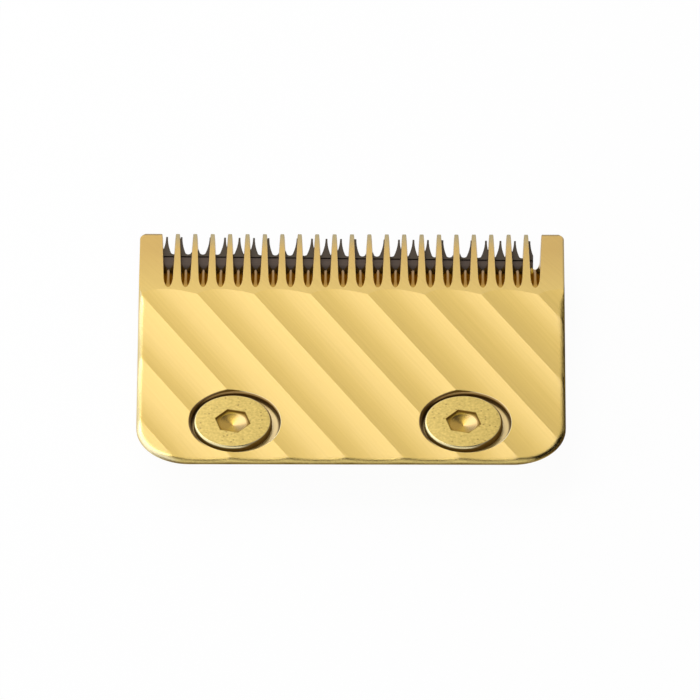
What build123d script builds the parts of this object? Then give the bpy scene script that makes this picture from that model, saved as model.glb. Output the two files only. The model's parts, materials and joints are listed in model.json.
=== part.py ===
from build123d import *
import os
from math import cos, radians, sin, tan

os.makedirs("parts", exist_ok=True)

# Hair clipper blade set: a fluted fixed blade, the toothed cutter that slides under it,
# and the two socket screws that clamp the fixed blade to the clipper.
# Millimetres. The origin is midway between the screw holes on the fixed blade's inner face,
# +X runs across the blade, +Y towards the tooth tips and +Z out of the fluted face.

# Fixed blade, plan
blade_width = 46.0
back_reach = 6.35         # hole line to the back edge
tip_reach = 32.5          # hole line to the tooth tips
back_corner_r = 5.7
tip_corner_r = 1.25

# Fixed blade, section
body_thickness = 2.4      # inner face to the ridges between the flutes
ridge_drop = 0.02         # the flutes overlap, so their ridges stand this far under the blank's face
edge_round_r = 0.45
rim_height = 0.6          # upright rim, rounded edge included, above the undercut
rim_undercut = 50.0       # degrees the seat's wall leans in below the rim
seat_reach = 12.0         # the undercut seat ends here and the full-width tooth block begins
bevel_start = 20.3
bevel_angle = 9.5
tip_blunt = 0.2           # the tips' upper edge is ground off this far back

# Flutes milled across the outer face
flute_spacing = 6.135     # ridge to ridge along X
flute_depth = 0.17
flute_angle = 58.3        # degrees from +X, falling to the right
flute_phase = 2.01        # X where one ridge crosses the hole line

# Slots ground between the fixed teeth
slot_count = 22
slot_pitch = 1.89
slot_start = 21.65        # where a slot's floor leaves the bevelled face
slot_exit = 27.05         # where it breaks through the inner face
slot_floor_r = 0.5
slot_wall_angle = 7.0
slot_mouth = 1.62         # opening at the tips, where the tooth corners are ground off
slot_mouth_angle = 13.0

# Inner face: the seat, a groove, and two lapped rails with a hollow between them
groove_width = 1.2        # parts the clamped seat from the rails the cutter runs on
hollow_start = 18.8
hollow_end = 25.6
hollow_depth = 0.3

# Screws and their holes
hole_spacing = 24.7
adjust_play = 0.75        # radial room for setting the blade square
counterbore_bevel = 0.15
head_d = 8.4
head_height = 0.76
head_sink = 0.06          # head's face under the flute ridges
head_bevel = 0.25
neck_d = 3.2              # plain neck inside the blade; the thread starts at the seat
shank_d = 4.0             # over the thread
shank_length = 3.6        # under the head
shank_end_chamfer = 0.4
screw_shift = -0.32       # where the screws sit in their holes, along X
socket_flats = 3.27
socket_depth = 0.2
socket_floor_angle = 75.0  # half angle of the pointed floor
socket_turn = -13.0

# Cutter
cutter_teeth = 27
cutter_pitch = 1.574
cutter_tip_width = 0.2
cutter_end = 0.43         # last tooth's middle to the cutter's end
gullet_depth = 2.8
gullet_floor_r = 0.32
tip_gap = 0.52            # cutter tips stand this far behind the fixed tips
cutter_reach = 18.0       # heel to tips
cutter_thickness = 1.6
cutter_tip_thickness = 0.35
cutter_bevel_angle = 12.0
cutter_land = 3.1         # lapped land behind the tips
cutter_rail = 6.0         # lapped rail along the heel
cutter_relief = 0.1
cutter_shift = -1.19      # rests near the left end of its stroke
cutter_skew = -0.83       # sits slightly turned under the teeth
drive_slot_length = 3.8
drive_slot_width = 2.4
peg_window = 3.0
peg_spacing = 21.0

# Worked out from the above
blank_thickness = body_thickness + ridge_drop
rim_floor = blank_thickness - rim_height
bevel_fall = tan(radians(bevel_angle))
slot_start_z = body_thickness - (slot_start - bevel_start) * bevel_fall
slot_fall = slot_start_z / (slot_exit - slot_start)
head_top = body_thickness - head_sink
counterbore_floor = head_top - head_height
hole_d = shank_d + 2 * adjust_play
counterbore_d = head_d + 2 * adjust_play
cutter_width = (cutter_teeth - 1) * cutter_pitch + 2 * cutter_end
cutter_tip_y = tip_reach - tip_gap
margin = 2.0              # cutting tools run past the metal by this much


def plate(front_y, corner_r):
    """Plan of the fixed blade from its back edge to front_y, with rounded corners."""
    length = back_reach + front_y
    face = Pos(0, front_y - length / 2) * Rectangle(blade_width, length)
    face = fillet(face.vertices().sort_by(Axis.Y)[:2], back_corner_r)
    if corner_r:
        face = fillet(face.vertices().sort_by(Axis.Y)[-2:], corner_r)
    return face


def section_cut(profile, width):
    """Cutting tool of a YZ profile, across the given width about the middle."""
    return extrude(Plane.YZ * profile, width / 2 + margin, both=True)


def blade_blank():
    """Plate with a rounded rim, undercut behind the tooth block so that only the rim shows."""
    outline = plate(tip_reach, tip_corner_r)
    rim = extrude(Pos(0, 0, rim_floor) * outline, rim_height)
    top_edges = rim.faces().sort_by(Axis.Z)[-1].edges()
    side_and_back = top_edges.filter_by_position(Axis.Y, -back_reach, tip_reach - tip_corner_r)
    rim = fillet(side_and_back, edge_round_r)
    seat_overlap = seat_reach + rim_floor * tan(radians(rim_undercut)) + margin
    seat = extrude(Pos(0, 0, rim_floor) * plate(seat_overlap, 0), -rim_floor, taper=rim_undercut)
    block_length = tip_reach - seat_reach
    block_face = outline & Pos(0, tip_reach - block_length / 2) * Rectangle(blade_width, block_length)
    return rim + seat + extrude(block_face, rim_floor)


def flute_tool():
    """Row of shallow round-bottomed flutes as one cutter, swept along the flutes' direction."""
    pitch = flute_spacing * sin(radians(flute_angle))
    first = int(-blade_width / flute_spacing)
    last = int((blade_width + tip_reach) / flute_spacing)
    phase = flute_phase * sin(radians(flute_angle))
    arcs = []
    for k in range(first, last):
        start = phase + k * pitch
        middle = (start + pitch / 2, body_thickness - flute_depth)
        arcs.append(ThreePointArc((start, body_thickness), middle, (start + pitch, body_thickness)))
    left = phase + first * pitch
    right = phase + last * pitch
    roof = blank_thickness + margin
    lid = Polyline((right, body_thickness), (right, roof), (left, roof), (left, body_thickness))
    along = (cos(radians(flute_angle)), -sin(radians(flute_angle)), 0)
    across = (sin(radians(flute_angle)), cos(radians(flute_angle)), 0)
    profile = Plane(origin=(0, 0, 0), x_dir=across, z_dir=along) * make_face(arcs + [lid])
    return extrude(profile, blade_width + tip_reach, both=True)


def tooth_bevel_tool():
    """Removes the metal above the bevelled front, and blunts the tips."""
    roof = blank_thickness + margin
    top_y = bevel_start - (roof - body_thickness) / bevel_fall
    blunt_y = tip_reach - tip_blunt
    blunt_z = body_thickness - (blunt_y - bevel_start) * bevel_fall
    front = tip_reach + margin
    profile = Polyline(
        (top_y, roof),
        (blunt_y, blunt_z),
        (front, blunt_z - tip_blunt - margin),
        (front, roof),
        close=True,
    )
    return section_cut(make_face(profile), blade_width)


def slot_tool():
    """One ground slot: round floor and leaning walls, running down to the inner side, and a flared mouth."""
    lean = radians(slot_wall_angle)
    start_y = slot_start - margin
    start_z = slot_start_z + margin * slot_fall
    end_y = tip_reach + margin
    run = (end_y - start_y) * (1 + slot_fall ** 2) ** 0.5
    height = body_thickness + margin + (end_y - slot_start) * slot_fall
    touch_x = slot_floor_r * cos(lean)
    touch_h = slot_floor_r * (1 - sin(lean))
    top_x = touch_x + (height - touch_h) * tan(lean)
    lines = [
        ThreePointArc((-touch_x, touch_h), (0, 0), (touch_x, touch_h)),
        Polyline((touch_x, touch_h), (top_x, height), (-top_x, height), (-touch_x, touch_h)),
    ]
    across = Plane(origin=(0, start_y, start_z), x_dir=(-1, 0, 0), z_dir=(0, 1, -slot_fall))
    flare = tan(radians(slot_mouth_angle))
    mouth = Polyline(
        (0, tip_reach - slot_mouth / 2 / flare),
        (slot_mouth / 2 + margin * flare, tip_reach + margin),
        (-slot_mouth / 2 - margin * flare, tip_reach + margin),
        close=True,
    )
    return extrude(across * make_face(lines), run) + extrude(make_face(mouth), body_thickness)


def fixed_blade():
    """Fluted blade with its ground teeth, adjusting holes and hollowed inner face."""
    body = blade_blank() - flute_tool() - tooth_bevel_tool()
    for start, end in ((seat_reach, seat_reach + groove_width), (hollow_start, hollow_end)):
        hollow = Pos((start + end) / 2, 0) * Rectangle(end - start, 2 * hollow_depth)
        body -= section_cut(hollow, blade_width)
    holes = GridLocations(hole_spacing, 0, 2, 1)
    upward = (Align.CENTER, Align.CENTER, Align.MIN)
    through = Cylinder(hole_d / 2, body_thickness, align=upward)
    bore_r = counterbore_d / 2 - counterbore_bevel
    bore = Pos(0, 0, counterbore_floor) * Cylinder(bore_r, body_thickness, align=upward)
    flare_r = counterbore_d / 2 + margin
    flare = Cone(bore_r, flare_r, flare_r - bore_r, align=upward)
    flare = Pos(0, 0, body_thickness - flute_depth / 2 - counterbore_bevel) * flare
    body -= holes * (through + bore + flare)
    return body - GridLocations(slot_pitch, 0, slot_count, 1) * slot_tool()


def gullet_tool():
    """Space between two cutter teeth: two long side arcs that run into a round floor."""
    half = (cutter_pitch - cutter_tip_width) / 2
    floor_y = gullet_depth - gullet_floor_r
    side_r = (half ** 2 + floor_y ** 2 - gullet_floor_r ** 2) / (2 * (half - gullet_floor_r))
    reach = side_r / (side_r - gullet_floor_r)
    touch_x = half - side_r + (side_r - half) * reach
    touch_y = -floor_y * reach
    lines = [
        Polyline((-half, 0), (-half, margin), (half, margin), (half, 0)),
        TangentArc((half, 0), (touch_x, touch_y), tangent=(0, -1)),
        ThreePointArc((touch_x, touch_y), (0, -gullet_depth), (-touch_x, touch_y)),
        TangentArc((-half, 0), (-touch_x, touch_y), tangent=(0, -1)),
    ]
    return extrude(make_face(lines), cutter_thickness + margin, both=True)


def moving_blade():
    """Cutter: toothed plate lapped on its land and heel rail, driven through slots in the heel."""
    heel_y = cutter_tip_y - cutter_reach
    mid_y = cutter_tip_y - cutter_reach / 2
    body = Pos(0, mid_y, -cutter_thickness / 2) * Box(cutter_width, cutter_reach, cutter_thickness)
    bevel_run = (cutter_thickness - cutter_tip_thickness) / tan(radians(cutter_bevel_angle))
    over = margin / tan(radians(cutter_bevel_angle))
    under = Polyline(
        (cutter_tip_y - bevel_run - over, -cutter_thickness - margin),
        (cutter_tip_y + over, -cutter_tip_thickness + margin),
        (cutter_tip_y + over, -cutter_thickness - margin),
        close=True,
    )
    body -= section_cut(make_face(under), cutter_width)
    relief_start = heel_y + cutter_rail
    relief_end = cutter_tip_y - cutter_land
    relief = Rectangle(relief_end - relief_start, 2 * cutter_relief)
    body -= section_cut(Pos((relief_start + relief_end) / 2, 0) * relief, cutter_width)
    gullet_places = Pos(0, cutter_tip_y, 0) * GridLocations(cutter_pitch, 0, cutter_teeth + 1, 1)
    body -= [place * gullet_tool() for place in gullet_places]
    rail_y = heel_y + cutter_rail / 2
    openings = SlotOverall(drive_slot_length, drive_slot_width)
    openings += GridLocations(peg_spacing, 0, 2, 1) * Rectangle(peg_window, peg_window)
    body -= extrude(Pos(0, rail_y, 0) * openings, cutter_thickness + margin, both=True)
    turned = Pos(0, cutter_tip_y, 0) * Rot(0, 0, cutter_skew) * Pos(0, -cutter_tip_y, 0)
    return Pos(cutter_shift, 0, 0) * turned * body


def blade_screw():
    """Flat-headed screw with a shallow hexagon socket, its head's underside at z = 0."""
    seat = (Align.CENTER, Align.CENTER, Align.MIN)
    head = Cylinder(head_d / 2, head_height, align=seat)
    head = chamfer(head.edges().sort_by(Axis.Z)[-1], head_bevel)
    shank = Cylinder(shank_d / 2, shank_length - counterbore_floor, align=seat)
    shank = chamfer(shank.edges().sort_by(Axis.Z)[0], shank_end_chamfer)
    neck = Pos(0, 0, -counterbore_floor) * Cylinder(neck_d / 2, counterbore_floor, align=seat)
    corner_r = socket_flats / 2 / cos(radians(30))
    hexagon = Rot(0, 0, socket_turn) * RegularPolygon(corner_r, 6)
    floor_z = head_height - socket_depth
    socket = extrude(Pos(0, 0, floor_z) * hexagon, socket_depth + margin)
    point_depth = socket_flats / 2 / tan(radians(socket_floor_angle))
    point = loft([Pos(0, 0, floor_z) * hexagon, Vertex(0, 0, floor_z - point_depth)])
    return head + neck + Pos(0, 0, -shank_length) * shank - socket - point


def blade_screws():
    """The two screws, one in each hole."""
    places = Pos(screw_shift, 0, counterbore_floor) * GridLocations(hole_spacing, 0, 2, 1)
    return Compound(children=[place * blade_screw() for place in places])


nodes = {
    "fixed_blade": fixed_blade(),
    "moving_blade": moving_blade(),
    "blade_screws": blade_screws(),
}
for name, solid in nodes.items():
    export_step(solid, f"parts/{name}.step")
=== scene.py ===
import json
import bpy
from math import cos, pi, radians, sin, tan
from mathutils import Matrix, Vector


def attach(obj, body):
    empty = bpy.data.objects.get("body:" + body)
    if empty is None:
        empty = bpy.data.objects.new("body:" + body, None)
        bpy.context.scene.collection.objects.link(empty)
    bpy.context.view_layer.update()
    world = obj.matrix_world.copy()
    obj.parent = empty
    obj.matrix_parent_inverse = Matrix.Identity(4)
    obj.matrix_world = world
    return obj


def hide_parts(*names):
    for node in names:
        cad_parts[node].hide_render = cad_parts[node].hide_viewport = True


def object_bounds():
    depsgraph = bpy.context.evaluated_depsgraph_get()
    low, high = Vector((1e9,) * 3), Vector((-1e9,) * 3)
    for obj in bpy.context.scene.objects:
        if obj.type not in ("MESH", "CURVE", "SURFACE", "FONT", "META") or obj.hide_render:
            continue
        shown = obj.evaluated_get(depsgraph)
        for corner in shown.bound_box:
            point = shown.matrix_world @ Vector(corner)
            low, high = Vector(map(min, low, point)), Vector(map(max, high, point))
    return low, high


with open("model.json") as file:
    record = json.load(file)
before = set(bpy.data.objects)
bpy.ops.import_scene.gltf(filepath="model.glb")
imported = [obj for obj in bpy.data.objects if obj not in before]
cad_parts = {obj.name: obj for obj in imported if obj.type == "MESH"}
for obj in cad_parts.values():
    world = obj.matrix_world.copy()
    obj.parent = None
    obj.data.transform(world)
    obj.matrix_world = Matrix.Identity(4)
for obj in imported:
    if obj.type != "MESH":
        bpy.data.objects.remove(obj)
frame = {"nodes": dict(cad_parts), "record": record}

cad_box = [list(corner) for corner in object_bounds()]

# A hair clipper blade set on a pale floor: a fluted gold fixed blade, a dark toothed cutter under its
# teeth and two socket screws. Metres, in the part's own frame: +X across the blade, +Y to the tooth tips,
# +Z out of the fluted face. Left, right, upper and lower are as the camera sees them, and the back is the edge
# away from the teeth.
MM = 0.001
fixed_blade = frame["nodes"]["fixed_blade"]
moving_blade = frame["nodes"]["moving_blade"]
screw_mount = next(mount for mount in frame["record"]["mounts"] if mount["name"] == "clipper_screws")
lowest = cad_box[0][2]

# Viewpoint
view_elevation = radians(42.0)
view_swing = radians(0.18)
view_distance = 1800 * MM
view_width = 75.3 * MM
view_target = Vector((-0.15, 11.3, 2.4)) * MM
view_near = 0.1
view_far = 20.0
sensor_width = 36.0

# Studio: each softbox's name, place, width, height and power in watts
softboxes = (
    ("key_softbox", (-0.11, 0.245, 0.32), 0.26, 0.26, 0.53),
    ("left_softbox", (-0.32, 0.05, 0.12), 0.36, 0.22, 0.12),
)
# Dark cards: name, place, width, height and the way they face
dark_cards = (
    ("dark_card_right", (0.19, 0.05, 0.138), 0.44, 0.28, (-1, 0, 0)),
    ("dark_card_roof", (0.125, 0.03, 0.28), 0.15, 0.36, (0, 0, 1)),
    ("dark_card_above", (0.00, 0.012, 0.35), 0.14, 0.27, (0, 0, 1)),
)
# Brown cards on the floor, which only reflections see: name, x, y, width and depth
floor_cards = (
    ("dark_card_floor", 0.015, -0.0265, 0.11, 0.04),
    ("dark_card_side", 0.0585, 0.015, 0.07, 0.06),
)
card_grey = "#202020"
floor_card_brown = "#6A5A3C"
floor_card_lift = 0.2 * MM    # above the part's lowest point
floor_gap = 0.05 * MM         # the floor lies this far under the part
floor_half = 3.0
floor_white = 0.96            # share of plain white in the floor that the eye sees
fill_strength = 1.08          # light of the world on the part

# Fixed blade, where its finishes change
flute_angle = radians(58.3)
slot_reach = 21.2 * MM        # the ground slots lie within this distance of the middle
slot_back = 21.2 * MM         # and in front of this line
slot_end = 22.8 * MM          # their round ends, ground bright, reach this far
slot_deep = 23.4 * MM         # their floors turn grey from here
slot_exit = 27.05 * MM        # to where they break through
bevel_from = 19.0 * MM        # where the tooth bevel starts
tip_reach = 32.5 * MM
worn_from = 29.3 * MM         # the coating thins from here to the tips
blunt_from = 31.95 * MM       # the end teeth's edge is painted dark from here, a painted dark reflection
blunt_to = 32.25 * MM         # to where it is ground off
flank_from = 22.75 * MM       # and so does the right one's side
tooth_row = 20.5 * MM         # half the row of teeth between the two end teeth
rim_edge = 0.9 * MM
rim_polish = 0.5 * MM
small_edge = 0.08 * MM
half_width = 23.0 * MM
back_reach = 6.35 * MM
corner_r = 5.7 * MM
brush_length = 14 * MM
brush_width = 0.25 * MM
brush_depth = 0.004 * MM

# Counterbores of the fixed blade
hole_reach = 12.35 * MM       # screw holes from the middle
bore_r = 4.83 * MM            # counterbore inside its bevel
lip_r = 5.0 * MM              # outside of the bevel
ring_r = 5.03 * MM            # painted shade outside the bevel thins out from here
ring_end = 5.12 * MM
shade_side = (-0.95, 0.3, 0)   # the painted shade is on this side, the upper left
lip_shade_from = 1.2 * MM           # full on the bevel from here, measured to that side from the hole's axis
ring_from = 1.4 * MM          # and outside it from here
ring_full = 3.2 * MM
bore_foot = 4.46 * MM         # painted shade starts here on the floor
bore_dark = 4.64 * MM         # and is thick from here to the wall
wall_shade_top = 1.9 * MM         # it reaches this high up the wall
wall_lit_from = 2.05 * MM        # which is painted light from here up, where it faces away from the teeth
lit_side = (-0.3, -0.95, 0)
unshaded_side = (0.6, -0.8, 0)   # on this side, the lower right, the painted shade is left off
unshaded_from = 4.0 * MM
unshaded_to = 4.5 * MM

# Cutter
cutter_relief = 0.1 * MM
shade_end = 27.9 * MM        # painted shade in front of the slots' ends reaches this far
lap_length = 6 * MM
lap_width = 0.15 * MM
lap_depth = 0.004 * MM

# Screws
head_r = 4.2 * MM
head_top = 2.34 * MM
head_seat = 1.58 * MM
head_round = 0.28 * MM
head_steps = 6                # of the rounded edge
seat_edge = 0.06 * MM
neck_r = 1.6 * MM
thread_r = 2.0 * MM
thread_pitch = 0.7 * MM
thread_depth = 0.4 * MM
thread_crest = 0.125          # share of half a pitch that the flat crest takes
thread_flank = 0.625          # and the flank beside it
thread_rows = 48
thread_end = -2.02 * MM
thread_end_chamfer = 0.4 * MM
thread_end_r = 0.1 * MM       # innermost ring of the end face
socket_flats = 3.27 * MM
socket_depth = 0.2 * MM
socket_edge = 0.05 * MM
socket_point = radians(75.0)
socket_turn = radians(-13.0)
cone_rings = (0.02 * MM, 1.4 * MM)  # radii of the rings on the cone at the socket's floor
screw_sides = 120             # a whole number of sides for each flat of the socket
socket_shade = (0, 0, 0.6, 0.9, 0.9, 0.8)  # painted shade on each ring of points in the socket, from its point up
sharp_angle = radians(35)
grain_width = 0.3 * MM
grain_depth = 0.006 * MM
pit_spacing = 0.6 * MM


def linear(code):
    """Linear RGBA of an sRGB hex colour."""
    parts = [int(code[i:i + 2], 16) / 255 for i in (1, 3, 5)]
    return [p / 12.92 if p <= 0.04045 else ((p + 0.055) / 1.055) ** 2.4 for p in parts] + [1.0]


# Socket numbers used below. Map Range: 0 value, 1 and 2 range taken, 3 and 4 range given. Mix: 0 factor, then
# 2 and 3 for numbers with output 0, or 6 and 7 for colours with output 2.
def add(tree, kind, inputs=None, **settings):
    """Adds a node. settings are its properties; inputs maps a socket to a value or to another node's output."""
    node = tree.nodes.new(kind)
    for name, value in settings.items():
        setattr(node, name, value)
    for socket, value in (inputs or {}).items():
        if isinstance(value, bpy.types.NodeSocket):
            tree.links.new(value, node.inputs[socket])
        else:
            node.inputs[socket].default_value = value
    return node


def new_material(name):
    """Material with an empty node tree."""
    material = bpy.data.materials.new(name)
    material.use_nodes = True
    material.node_tree.nodes.clear()
    return material, material.node_tree


# A warm satin gold with faint lines along the flutes and a broad pale sheen; the polished rim and the slots
# are bare of that sheen and reflect like metal; painted shade lies matt in the counterbores, and painted light
# and shade mark the rim, the lips, the end teeth and the slot walls.
def gold_coated_steel():
    """Titanium nitride on milled and finely brushed steel."""
    material, tree = new_material("titanium_nitride_on_brushed_steel")
    place = add(tree, "ShaderNodeTexCoord").outputs["Object"]
    spot = add(tree, "ShaderNodeSeparateXYZ", {0: place}).outputs
    across = add(tree, "ShaderNodeMath", {0: spot["X"]}, operation="ABSOLUTE").outputs[0]
    between = add(tree, "ShaderNodeMath", {0: across, 1: tooth_row}, operation="LESS_THAN").outputs[0]
    ahead = add(tree, "ShaderNodeMath", {0: spot["Y"], 1: slot_back}, operation="GREATER_THAN").outputs[0]

    # Distance out from the corners' centres, which grows towards the sides and the back edge
    corner_x = add(tree, "ShaderNodeMath", {
        0: across,
        1: half_width - corner_r,
    }, operation="SUBTRACT").outputs[0]
    corner_y = add(tree, "ShaderNodeMath", {
        0: corner_r - back_reach,
        1: spot["Y"],
    }, operation="SUBTRACT").outputs[0]
    corner = add(tree, "ShaderNodeCombineXYZ", {"X": corner_x, "Y": corner_y}).outputs[0]
    corner = add(tree, "ShaderNodeVectorMath", {0: corner}, operation="MAXIMUM").outputs[0]
    outward = add(tree, "ShaderNodeVectorMath", {0: corner}, operation="LENGTH").outputs["Value"]
    behind = add(tree, "ShaderNodeMapRange", {
        0: spot["Y"],
        1: bevel_from,
        2: slot_back,
        3: 1.0,
        4: 0.0,
    }).outputs[0]
    rim = add(tree, "ShaderNodeMapRange", {
        0: outward,
        1: corner_r - 1.3 * rim_edge,
        2: corner_r - rim_edge,
    }).outputs[0]
    rim = add(tree, "ShaderNodeMath", {0: rim, 1: behind}, operation="MULTIPLY").outputs[0]

    # Edges polished over: rounder along the rim than round the holes and teeth
    rounding = add(tree, "ShaderNodeMapRange", {0: rim, 3: small_edge, 4: rim_edge}).outputs[0]
    edge = add(tree, "ShaderNodeBevel", {"Radius": rounding}, samples=8).outputs[0]
    facing = add(tree, "ShaderNodeSeparateXYZ", {0: edge}).outputs

    # Fluted face and tooth bevel look up; rim, slot walls and bores don't. Along the rim less tilt is enough
    tilt = add(tree, "ShaderNodeMapRange", {
        0: outward,
        1: corner_r - 1.2 * rim_polish,
        2: corner_r - rim_polish,
        4: 0.03,
    }).outputs[0]
    tilt = add(tree, "ShaderNodeMath", {0: tilt, 1: behind}, operation="MULTIPLY").outputs[0]
    upward = add(tree, "ShaderNodeMath", {0: facing["Z"], 1: tilt}, operation="SUBTRACT").outputs[0]
    face = add(tree, "ShaderNodeMapRange", {0: upward, 1: 0.94, 2: 0.975}).outputs[0]
    upright = add(tree, "ShaderNodeMath", {0: 1.0, 1: face}, operation="SUBTRACT").outputs[0]
    inside = add(tree, "ShaderNodeMath", {0: across, 1: slot_reach}, operation="LESS_THAN").outputs[0]
    slots = add(tree, "ShaderNodeMath", {0: inside, 1: ahead}, operation="MULTIPLY").outputs[0]
    slots = add(tree, "ShaderNodeMath", {0: slots, 1: upright}, operation="MULTIPLY").outputs[0]

    # Counterbores around the screws
    which_end = add(tree, "ShaderNodeMath", {0: spot["X"]}, operation="SIGN").outputs[0]
    off_hole = add(tree, "ShaderNodeMath", {
        0: which_end,
        1: -hole_reach,
        2: spot["X"],
    }, operation="MULTIPLY_ADD").outputs[0]
    spoke = add(tree, "ShaderNodeCombineXYZ", {"X": off_hole, "Y": spot["Y"]}).outputs[0]
    off_axis = add(tree, "ShaderNodeVectorMath", {0: spoke}, operation="LENGTH").outputs["Value"]
    above = add(tree, "ShaderNodeMath", {
        0: spot["Z"],
        1: head_seat / 2,
    }, operation="GREATER_THAN").outputs[0]
    bore = add(tree, "ShaderNodeMath", {0: off_axis, 1: bore_r}, operation="LESS_THAN").outputs[0]
    bore = add(tree, "ShaderNodeMath", {0: bore, 1: above}, operation="MULTIPLY").outputs[0]
    bore_wall = add(tree, "ShaderNodeMath", {0: bore, 1: upright}, operation="MULTIPLY").outputs[0]
    # Their bevelled lips are painted brown on the upper left as painted shade, which reaches a little on to the
    # face, and cream elsewhere as a painted highlight
    to_shade_side = add(tree, "ShaderNodeVectorMath", {
        0: spoke,
        1: shade_side,
    }, operation="DOT_PRODUCT").outputs["Value"]
    lip_shaded = add(tree, "ShaderNodeMapRange", {0: to_shade_side, 2: lip_shade_from}).outputs[0]
    ring_shaded = add(tree, "ShaderNodeMapRange", {0: to_shade_side, 1: ring_from, 2: ring_full}).outputs[0]
    lip = add(tree, "ShaderNodeMath", {0: off_axis, 1: lip_r}, operation="LESS_THAN").outputs[0]
    lip = add(tree, "ShaderNodeMath", {0: lip, 1: above}, operation="MULTIPLY").outputs[0]
    lip = add(tree, "ShaderNodeMath", {0: lip, 1: upright}, operation="MULTIPLY").outputs[0]
    ring = add(tree, "ShaderNodeMapRange", {0: off_axis, 1: ring_r, 2: ring_end, 3: 1.0, 4: 0.0}).outputs[0]
    ring = add(tree, "ShaderNodeMath", {0: ring, 1: ring_shaded}, operation="MULTIPLY").outputs[0]
    ring = add(tree, "ShaderNodeMath", {0: ring, 1: above}, operation="MULTIPLY").outputs[0]

    # Brush lines along the flutes, drawn 0.25 mm wide so that they show
    lines = add(tree, "ShaderNodeMapping", {
        "Vector": place,
        "Rotation": (0, 0, -flute_angle),
        "Scale": (brush_length, brush_width, 1.0),
    }, vector_type="TEXTURE").outputs[0]
    brush = add(tree, "ShaderNodeTexNoise", {"Vector": lines, "Scale": 1.0, "Detail": 3.0}).outputs[0]
    gold = add(tree, "ShaderNodeMix", {
        0: brush,
        6: linear("#D0AC40"),
        7: linear("#E2BE54"),
    }, data_type="RGBA").outputs[2]
    # The teeth are a deeper gold than the flutes
    tan_gold = add(tree, "ShaderNodeMapRange", {0: spot["Y"], 1: slot_back, 2: worn_from, 4: 0.55}).outputs[0]
    gold = add(tree, "ShaderNodeMix", {
        0: tan_gold,
        6: gold,
        7: linear("#BA8A14"),
    }, data_type="RGBA").outputs[2]
    # Their tips, worn thin, let the grey of the steel through; the end teeth's ground-off edges and the right
    # one's side are painted dark, a painted dark reflection
    worn = add(tree, "ShaderNodeMapRange", {0: spot["Y"], 1: worn_from, 2: tip_reach, 4: 1.0}).outputs[0]
    worn = add(tree, "ShaderNodeMath", {0: worn, 1: between}, operation="MULTIPLY").outputs[0]
    outer = add(tree, "ShaderNodeMath", {0: 1.0, 1: between}, operation="SUBTRACT").outputs[0]
    blunt_edge_reflection = add(tree, "ShaderNodeMapRange", {0: spot["Y"], 1: blunt_from, 2: blunt_to}).outputs[0]
    flank_reflection = add(tree, "ShaderNodeMapRange", {0: spot["X"], 1: flank_from, 2: half_width}).outputs[0]
    flank_reflection = add(tree, "ShaderNodeMath", {0: flank_reflection, 1: ahead}, operation="MULTIPLY").outputs[0]
    blunt_edge_reflection = add(tree, "ShaderNodeMath", {0: blunt_edge_reflection, 1: flank_reflection}, operation="MAXIMUM").outputs[0]
    blunt_edge_reflection = add(tree, "ShaderNodeMath", {0: blunt_edge_reflection, 1: outer}, operation="MULTIPLY").outputs[0]

    # Slot walls are painted brown as painted shade, darker towards the slots' exits; the slot floors are ground
    # brighter, and their round ends most
    floor = add(tree, "ShaderNodeMapRange", {0: facing["Z"], 1: 0.7, 2: 0.92}).outputs[0]
    warm_and_lit = add(tree, "ShaderNodeMapRange", {
        0: spot["Y"],
        1: slot_deep,
        2: slot_exit,
        3: 1.0,
        4: 0.1,
    }).outputs[0]
    ground = add(tree, "ShaderNodeMix", {
        0: warm_and_lit,
        6: linear("#A49696"),
        7: linear("#A58566"),
    }, data_type="RGBA").outputs[2]
    slot = add(tree, "ShaderNodeMix", {
        0: warm_and_lit,
        6: linear("#987A20"),
        7: linear("#A28A2C"),
    }, data_type="RGBA").outputs[2]
    slot = add(tree, "ShaderNodeMix", {0: floor, 6: slot, 7: ground}, data_type="RGBA").outputs[2]
    round_end = add(tree, "ShaderNodeMapRange", {
        0: spot["Y"],
        1: slot_back,
        2: slot_end,
        3: 1.0,
        4: 0.0,
    }).outputs[0]
    slot = add(tree, "ShaderNodeMix", {
        0: round_end,
        6: slot,
        7: linear("#CEAC6A"),
    }, data_type="RGBA").outputs[2]

    # Painted shade lies at the foot of the counterbore's wall, left off at its lower right
    foot_shade = add(tree, "ShaderNodeMapRange", {0: off_axis, 1: bore_foot, 2: bore_dark, 4: 0.95}).outputs[0]
    unshaded = add(tree, "ShaderNodeVectorMath", {
        0: spoke,
        1: unshaded_side,
    }, operation="DOT_PRODUCT").outputs["Value"]
    unshaded = add(tree, "ShaderNodeMapRange", {0: unshaded, 1: unshaded_from, 2: unshaded_to}).outputs[0]
    foot_shade = add(tree, "ShaderNodeMath", {0: foot_shade, 1: unshaded}, operation="SUBTRACT", use_clamp=True).outputs[0]
    seat = add(tree, "ShaderNodeMix", {
        0: foot_shade,
        6: linear("#E2C47C"),
        7: linear("#4E3610"),
    }, data_type="RGBA").outputs[2]
    # The lip: cream as a painted highlight, brown on the upper left as painted shade
    lip_light_and_shade = add(tree, "ShaderNodeMix", {
        0: lip_shaded,
        6: linear("#F6E6B4"),
        7: linear("#5A3E0C"),
    }, data_type="RGBA").outputs[2]
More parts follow.
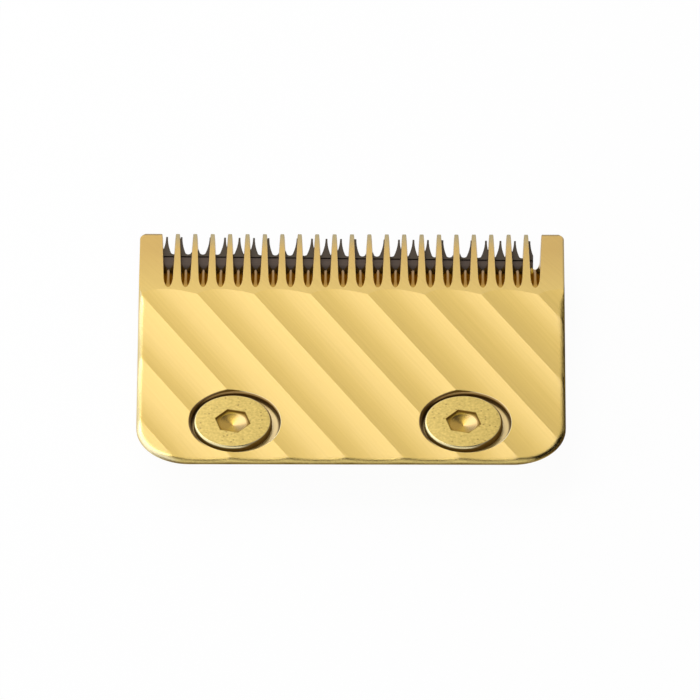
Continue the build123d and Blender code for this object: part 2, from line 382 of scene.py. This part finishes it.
    # The wall is painted brown as painted shade, apart from its upper part on the teeth's side, painted lighter
    # as lit
    wall_lit = add(tree, "ShaderNodeMapRange", {0: spot["Z"], 1: wall_shade_top, 2: wall_lit_from}).outputs[0]
    turned = add(tree, "ShaderNodeVectorMath", {
        0: edge,
        1: lit_side,
    }, operation="DOT_PRODUCT").outputs["Value"]
    turned = add(tree, "ShaderNodeMapRange", {0: turned, 1: 0.3, 2: 0.6}).outputs[0]
    wall_lit = add(tree, "ShaderNodeMath", {0: wall_lit, 1: turned}, operation="MULTIPLY").outputs[0]
    shade_paint = add(tree, "ShaderNodeMix", {
        0: wall_lit,
        6: linear("#4E340C"),
        7: linear("#C8A468"),
    }, data_type="RGBA").outputs[2]

    # Painted shade: a dark brown line is painted in the crease between flutes and rim, at the back and on the
    # right
    lean = add(tree, "ShaderNodeMath", {0: facing["X"], 1: facing["Y"]}, operation="SUBTRACT").outputs[0]
    lean = add(tree, "ShaderNodeMapRange", {0: lean, 1: 0.08, 2: 0.25}).outputs[0]
    crease_shade = add(tree, "ShaderNodeMapRange", {0: facing["Z"], 1: 0.8, 2: 0.88}).outputs[0]
    crease_shade = add(tree, "ShaderNodeMath", {0: crease_shade, 1: lean}, operation="MULTIPLY").outputs[0]
    # Painted highlight: the rim is painted paler where it faces left, towards the lamps
    left_highlight = add(tree, "ShaderNodeMapRange", {0: facing["X"], 1: -0.1, 2: -0.35}).outputs[0]
    rim_light_and_shade = add(tree, "ShaderNodeMix", {
        0: left_highlight,
        6: linear("#E0C87C"),
        7: linear("#EADCB0"),
    }, data_type="RGBA").outputs[2]
    rim_light_and_shade = add(tree, "ShaderNodeMix", {
        0: crease_shade,
        6: rim_light_and_shade,
        7: linear("#4C360C"),
    }, data_type="RGBA").outputs[2]

    colour = add(tree, "ShaderNodeMix", {0: face, 6: rim_light_and_shade, 7: gold}, data_type="RGBA").outputs[2]
    for mask, over in (
        (worn, linear("#9C9064")),
        (blunt_edge_reflection, linear("#7A6428")),
        (ring, linear("#4A3008")),
        (bore, seat),
        (lip, lip_light_and_shade),
        (bore_wall, shade_paint),
        (slots, slot),
    ):
        colour = add(tree, "ShaderNodeMix", {0: mask, 6: colour, 7: over}, data_type="RGBA").outputs[2]

    # The painted shade takes the sheen off the face; wall and lip are matt
    painted_shade = add(tree, "ShaderNodeMath", {0: foot_shade, 1: bore}, operation="MULTIPLY").outputs[0]
    painted_shade = add(tree, "ShaderNodeMath", {0: painted_shade, 1: ring}, operation="MAXIMUM").outputs[0]
    coat = add(tree, "ShaderNodeMath", {0: face, 1: painted_shade}, operation="SUBTRACT", use_clamp=True).outputs[0]
    matt = add(tree, "ShaderNodeMath", {0: bore_wall, 1: lip}, operation="MAXIMUM").outputs[0]
    rough = add(tree, "ShaderNodeMapRange", {0: brush, 3: 0.38, 4: 0.46}).outputs[0]
    rough = add(tree, "ShaderNodeMix", {0: face, 2: 0.1, 3: rough}).outputs[0]
    rough = add(tree, "ShaderNodeMix", {0: matt, 2: rough, 3: 0.6}).outputs[0]
    metal = add(tree, "ShaderNodeMapRange", {0: face, 3: 1.0, 4: 0.25}).outputs[0]
    metal = add(tree, "ShaderNodeMath", {0: metal, 1: matt}, operation="SUBTRACT", use_clamp=True).outputs[0]
    bump = add(tree, "ShaderNodeBump", {
        "Strength": 0.5,
        "Distance": brush_depth,
        "Height": brush,
        "Normal": edge,
    }).outputs[0]
    shader = add(tree, "ShaderNodeBsdfPrincipled", {
        "Base Color": colour,
        "Metallic": metal,
        "Roughness": rough,
        "Specular Tint": linear("#E4CC98"),
        "Normal": bump,
        "Coat Weight": coat,
        "Coat Roughness": 0.27,
    })
    add(tree, "ShaderNodeOutputMaterial", {"Surface": shader.outputs[0]})
    return material


# A dull brown-black metal with faint lines along the stroke, painted nearly black under the slots' ends as
# painted shade.
def dark_coated_steel():
    """Black-oxide steel of the cutter, lapped flat."""
    material, tree = new_material("black_oxide_steel")
    place = add(tree, "ShaderNodeTexCoord").outputs["Object"]
    spot = add(tree, "ShaderNodeSeparateXYZ", {0: place}).outputs

    # Lapping lines along the stroke, drawn 0.15 mm wide so that they show
    lines = add(tree, "ShaderNodeMapping", {
        "Vector": place,
        "Scale": (lap_length, lap_width, 1.0),
    }, vector_type="TEXTURE").outputs[0]
    lap = add(tree, "ShaderNodeTexNoise", {"Vector": lines, "Scale": 1.0, "Detail": 3.0}).outputs[0]
    oxide = add(tree, "ShaderNodeMix", {
        0: lap,
        6: linear("#433A34"),
        7: linear("#574B43"),
    }, data_type="RGBA").outputs[2]
    # The lapped land is worn browner; the strip under the slots' ends is painted nearly black, painted shade
    # under the fixed blade
    land = add(tree, "ShaderNodeMath", {
        0: spot["Z"],
        1: -0.5 * cutter_relief,
    }, operation="GREATER_THAN").outputs[0]
    colour = add(tree, "ShaderNodeMix", {0: land, 6: oxide, 7: linear("#463E35")}, data_type="RGBA").outputs[2]
    painted_shade = add(tree, "ShaderNodeMapRange", {
        0: spot["Y"],
        1: slot_exit,
        2: shade_end,
        3: 0.85,
        4: 0.0,
    }).outputs[0]
    colour = add(tree, "ShaderNodeMix", {
        0: painted_shade,
        6: colour,
        7: linear("#191310"),
    }, data_type="RGBA").outputs[2]
    bump = add(tree, "ShaderNodeBump", {"Strength": 0.4, "Distance": lap_depth, "Height": lap}).outputs[0]
    shader = add(tree, "ShaderNodeBsdfPrincipled", {
        "Base Color": colour,
        "Metallic": 1.0,
        "Roughness": 0.5,
        "Normal": bump,
    })
    add(tree, "ShaderNodeOutputMaterial", {"Surface": shader.outputs[0]})
    return material


# A matt, speckled pale gold; the head's rounded edge and the socket are smooth and reflect like metal.
def gold_blasted_steel():
    """Titanium nitride on screw steel with a blasted grain."""
    material, tree = new_material("titanium_nitride_on_blasted_steel")
    place = add(tree, "ShaderNodeTexCoord").outputs["Object"]
    normal = add(tree, "ShaderNodeNewGeometry").outputs["Normal"]
    facing = add(tree, "ShaderNodeSeparateXYZ", {0: normal}).outputs
    pressed = add(tree, "ShaderNodeAttribute", attribute_name="pressed").outputs["Fac"]
    shade_paint = add(tree, "ShaderNodeAttribute", attribute_name="shade_paint").outputs["Fac"]

    # Blasted grain, drawn 0.3 mm wide so that it shows, and darker pits about 0.6 mm apart
    grain = add(tree, "ShaderNodeTexNoise", {
        "Vector": place,
        "Scale": 1 / grain_width,
        "Detail": 3.0,
    }).outputs[0]
    pit = add(tree, "ShaderNodeTexVoronoi", {"Vector": place, "Scale": 1 / pit_spacing}).outputs["Distance"]
    pit = add(tree, "ShaderNodeMapRange", {0: pit, 1: 0.1, 2: 0.24, 3: 0.7, 4: 0.0}).outputs[0]
    gold = add(tree, "ShaderNodeMix", {
        0: grain,
        6: linear("#AC8E3C"),
        7: linear("#F2D676"),
    }, data_type="RGBA").outputs[2]
    gold = add(tree, "ShaderNodeMix", {0: pit, 6: gold, 7: linear("#8A6420")}, data_type="RGBA").outputs[2]

    # The edge is polished and the socket pressed smooth; the socket is painted paler on its right, a painted
    # highlight, and darker on its left, painted shade
    edge = add(tree, "ShaderNodeMapRange", {0: facing["Z"], 1: 0.985, 2: 0.95}).outputs[0]
    smooth = add(tree, "ShaderNodeMath", {0: edge, 1: pressed}, operation="MAXIMUM").outputs[0]
    colour = add(tree, "ShaderNodeMix", {0: edge, 6: gold, 7: linear("#E6D8A8")}, data_type="RGBA").outputs[2]
    lit_facets = add(tree, "ShaderNodeMapRange", {0: facing["X"], 2: -0.15}).outputs[0]
    socket = add(tree, "ShaderNodeMix", {
        0: lit_facets,
        6: linear("#BC9A34"),
        7: linear("#A48A56"),
    }, data_type="RGBA").outputs[2]
    shaded_facets = add(tree, "ShaderNodeMapRange", {0: facing["X"], 2: 0.15}).outputs[0]
    socket = add(tree, "ShaderNodeMix", {0: shaded_facets, 6: socket, 7: linear("#A27E22")}, data_type="RGBA").outputs[2]
    colour = add(tree, "ShaderNodeMix", {0: pressed, 6: colour, 7: socket}, data_type="RGBA").outputs[2]

    # Painted shade: socket walls, the head's sides and the right of its edge are painted brown
    side = add(tree, "ShaderNodeMapRange", {0: facing["Z"], 1: 0.35, 2: 0.15}).outputs[0]
    right = add(tree, "ShaderNodeMapRange", {0: facing["X"], 1: 0.15, 2: 0.4}).outputs[0]
    right = add(tree, "ShaderNodeMath", {
        0: right,
        1: pressed,
    }, operation="SUBTRACT", use_clamp=True).outputs[0]
    side = add(tree, "ShaderNodeMath", {0: side, 1: right}, operation="MAXIMUM").outputs[0]
    shade_paint = add(tree, "ShaderNodeMath", {0: side, 1: shade_paint}, operation="MAXIMUM").outputs[0]
    colour = add(tree, "ShaderNodeMix", {0: shade_paint, 6: colour, 7: linear("#7A5A1E")}, data_type="RGBA").outputs[2]

    metal = add(tree, "ShaderNodeMapRange", {0: smooth, 3: 0.25, 4: 1.0}).outputs[0]
    metal = add(tree, "ShaderNodeMath", {0: metal, 1: shade_paint}, operation="SUBTRACT", use_clamp=True).outputs[0]
    rough = add(tree, "ShaderNodeMapRange", {0: smooth, 3: 0.5, 4: 0.26}).outputs[0]
    rough = add(tree, "ShaderNodeMix", {0: shade_paint, 2: rough, 3: 0.7}).outputs[0]
    coat = add(tree, "ShaderNodeMix", {0: edge, 2: 0.11, 3: 0.0}).outputs[0]
    coat = add(tree, "ShaderNodeMix", {0: pressed, 2: coat, 3: 0.32}).outputs[0]
    coat = add(tree, "ShaderNodeMath", {0: coat, 1: shade_paint}, operation="SUBTRACT", use_clamp=True).outputs[0]
    bump = add(tree, "ShaderNodeBump", {"Strength": 0.6, "Distance": grain_depth, "Height": grain}).outputs[0]
    shader = add(tree, "ShaderNodeBsdfPrincipled", {
        "Base Color": colour,
        "Metallic": metal,
        "Roughness": rough,
        "Specular Tint": linear("#E4CC98"),
        "Normal": bump,
        "Coat Weight": coat,
        "Coat Roughness": 0.3,
        "Coat IOR": 2.0,
    })
    add(tree, "ShaderNodeOutputMaterial", {"Surface": shader.outputs[0]})
    return material


def thread_radius(z, angle):
    """Radius of the screw thread's surface, with its crests and roots flattened and its end chamfered."""
    turn = (z / thread_pitch + angle / (2 * pi)) % 1
    off_crest = abs(turn - 0.5) * 2
    cut = min(max((off_crest - thread_crest) / thread_flank, 0), 1)
    chamfer_r = thread_r - thread_end_chamfer + (z - thread_end)
    return min(thread_r - thread_depth * cut, chamfer_r)


def screw_rings():
    """Rings of (x, y, z) points from the socket's floor, over the head and down to the thread's end."""
    angles = [socket_turn + 2 * pi * k / screw_sides for k in range(screw_sides)]
    flat = 2 * pi / 6

    def circle(r, z):
        return [(r * cos(a), r * sin(a), z) for a in angles]

    def hexagon(inset, z):
        half = socket_flats / 2 + inset
        radii = [half / cos((a - socket_turn) % flat - flat / 2) for a in angles]
        return [(r * cos(a), r * sin(a), z) for r, a in zip(radii, angles)]

    floor = head_top - socket_depth
    point = floor - socket_flats / 2 / tan(socket_point)
    slope = (floor - point) / (socket_flats / 2)
    rings = [circle(r, point + slope * r) for r in cone_rings]
    rings.append(circle(socket_flats / 2, floor))
    rings += [hexagon(0, floor), hexagon(0, head_top - socket_edge), hexagon(socket_edge, head_top)]
    rings.append(hexagon(2 * socket_edge, head_top))
    for k in range(head_steps + 1):
        bend = pi / 2 * k / head_steps
        r = head_r - head_round * (1 - sin(bend))
        rings.append(circle(r, head_top - head_round * (1 - cos(bend))))
    rings += [circle(head_r, head_seat + seat_edge), circle(head_r - seat_edge, head_seat)]
    rings += [circle(neck_r, head_seat), circle(neck_r, 0)]
    for k in range(thread_rows + 1):
        z = thread_end * k / thread_rows
        rings.append([(thread_radius(z, a) * cos(a), thread_radius(z, a) * sin(a), z) for a in angles])
    rings.append(circle(thread_end_r, thread_end))
    return rings


def make_screws():
    """Both screws as one mesh of two closed shells."""
    rings = screw_rings()
    spacing = screw_mount["dims"]["spacing_x_mm"] * MM
    middle = Vector(screw_mount["pos_m"])
    points = []
    faces = []
    for side in (-1, 1):
        place = middle + Vector((side * spacing / 2, 0, 0))
        start = len(points)
        points += [place + Vector(point) for ring in rings for point in ring]
        for row in range(len(rings) - 1):
            for k in range(screw_sides):
                a = start + row * screw_sides + k
                b = start + row * screw_sides + (k + 1) % screw_sides
                faces.append((b, a, a + screw_sides, b + screw_sides))
        faces.append(tuple(range(start, start + screw_sides)))
        faces.append(tuple(reversed(range(len(points) - screw_sides, len(points)))))
    mesh = bpy.data.meshes.new("socket_screws")
    mesh.from_pydata(points, [], faces)
    mesh.polygons.foreach_set("use_smooth", [True] * len(faces))
    mesh.set_sharp_from_angle(angle=sharp_angle)
    mesh.materials.append(gold_blasted_steel())
    # Values on the points that the material reads: 1 in the pressed socket, and how much painted shade there is
    outside = len(rings) - len(socket_shade)
    for name, per_ring in (
        ("pressed", [1.0] * len(socket_shade) + [0.0] * outside),
        ("shade_paint", list(socket_shade) + [0.0] * outside),
    ):
        values = [value for value in per_ring for _ in range(screw_sides)]
        mesh.attributes.new(name, "FLOAT", "POINT").data.foreach_set("value", values * 2)
    screws = bpy.data.objects.new("socket_screws", mesh)
    bpy.context.scene.collection.objects.link(screws)
    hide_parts("blade_screws")
    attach(screws, "fixed")


def seen_ray(tree):
    """1 for rays that see the background directly, in a reflection or through glass."""
    path = add(tree, "ShaderNodeLightPath").outputs
    seen = add(tree, "ShaderNodeMath", {
        0: path["Is Camera Ray"],
        1: path["Is Glossy Ray"],
    }, operation="MAXIMUM").outputs[0]
    seen = add(tree, "ShaderNodeMath", {
        0: seen,
        1: path["Is Transmission Ray"],
    }, operation="MAXIMUM").outputs[0]
    return seen


def white_floor():
    """Pale floor: mostly white to the eye and in reflections, with a faint soft shadow of the part."""
    material, tree = new_material("white_floor")
    share = add(tree, "ShaderNodeMath", {0: seen_ray(tree), 1: floor_white}, operation="MULTIPLY")
    matte = add(tree, "ShaderNodeBsdfDiffuse", {"Color": linear("#F4F4F4")})
    glow = add(tree, "ShaderNodeEmission", {"Color": linear("#FFFFFF"), "Strength": 1.0})
    mix = add(tree, "ShaderNodeMixShader", {0: share.outputs[0], 1: matte.outputs[0], 2: glow.outputs[0]})
    add(tree, "ShaderNodeOutputMaterial", {"Surface": mix.outputs[0]})
    return material


def make_floor():
    size = floor_half
    z = lowest - floor_gap
    mesh = bpy.data.meshes.new("floor")
    corners = [(-size, -size, z), (size, -size, z), (size, size, z), (-size, size, z)]
    mesh.from_pydata(corners, [], [(0, 1, 2, 3)])
    mesh.materials.append(white_floor())
    floor = bpy.data.objects.new("floor", mesh)
    bpy.context.scene.collection.objects.link(floor)


def make_world():
    """White to the eye and in reflections, and an even fill light on the part."""
    world = bpy.data.worlds.new("studio")
    bpy.context.scene.world = world
    world.use_nodes = True
    tree = world.node_tree
    tree.nodes.clear()
    white = add(tree, "ShaderNodeBackground", {"Color": linear("#FFFFFF"), "Strength": 1.0})
    fill = add(tree, "ShaderNodeBackground", {"Color": linear("#FFFFFF"), "Strength": fill_strength})
    mix = add(tree, "ShaderNodeMixShader", {0: seen_ray(tree), 1: fill.outputs[0], 2: white.outputs[0]})
    add(tree, "ShaderNodeOutputWorld", {"Surface": mix.outputs[0]})


def make_softbox(name, place, width, height, power):
    """Soft lamp aimed at the middle of the part."""
    lamp = bpy.data.lights.new(name, "AREA")
    lamp.shape = "RECTANGLE"
    lamp.size = width
    lamp.size_y = height
    lamp.energy = power
    box = bpy.data.objects.new(name, lamp)
    bpy.context.scene.collection.objects.link(box)
    box.location = place
    box.rotation_euler = (view_target - Vector(place)).to_track_quat("-Z", "Y").to_euler()


def make_dark_card(name, place, width, height, facing, colour=card_grey):
    """Matt card near the part, which darkens what the metal reflects; the camera doesn't see it."""
    material, tree = new_material(name)
    matte = add(tree, "ShaderNodeBsdfDiffuse", {"Color": linear(colour)})
    add(tree, "ShaderNodeOutputMaterial", {"Surface": matte.outputs[0]})
    mesh = bpy.data.meshes.new(name)
    w, h = width / 2, height / 2
    mesh.from_pydata([(-w, -h, 0), (w, -h, 0), (w, h, 0), (-w, h, 0)], [], [(0, 1, 2, 3)])
    mesh.materials.append(material)
    card = bpy.data.objects.new(name, mesh)
    bpy.context.scene.collection.objects.link(card)
    card.location = place
    card.rotation_euler = Vector(facing).to_track_quat("Z", "Y").to_euler()
    card.visible_camera = False
    return card


def make_camera():
    lens = bpy.data.cameras.new("camera")
    lens.sensor_width = sensor_width
    lens.lens = sensor_width * view_distance / view_width
    lens.clip_start = view_near
    lens.clip_end = view_far
    camera = bpy.data.objects.new("camera", lens)
    bpy.context.scene.collection.objects.link(camera)
    level = cos(view_elevation)
    aside = Vector((level * sin(view_swing), -level * cos(view_swing), sin(view_elevation)))
    camera.location = view_target + view_distance * aside
    camera.rotation_euler = (-aside).to_track_quat("-Z", "Y").to_euler()
    bpy.context.scene.camera = camera


fixed_blade.material_slots[0].material = gold_coated_steel()
moving_blade.material_slots[0].material = dark_coated_steel()
make_screws()

make_floor()
make_world()
for name, place, width, height, power in softboxes:
    make_softbox(name, place, width, height, power)
for name, place, width, height, facing in dark_cards:
    make_dark_card(name, place, width, height, facing)
for name, x, y, width, depth in floor_cards:
    place = (x, y, lowest + floor_card_lift)
    card = make_dark_card(name, place, width, depth, (0, 0, 1), floor_card_brown)
    card.visible_diffuse = False
    card.visible_shadow = False
make_camera()

bpy.context.scene.view_settings.view_transform = "Standard"
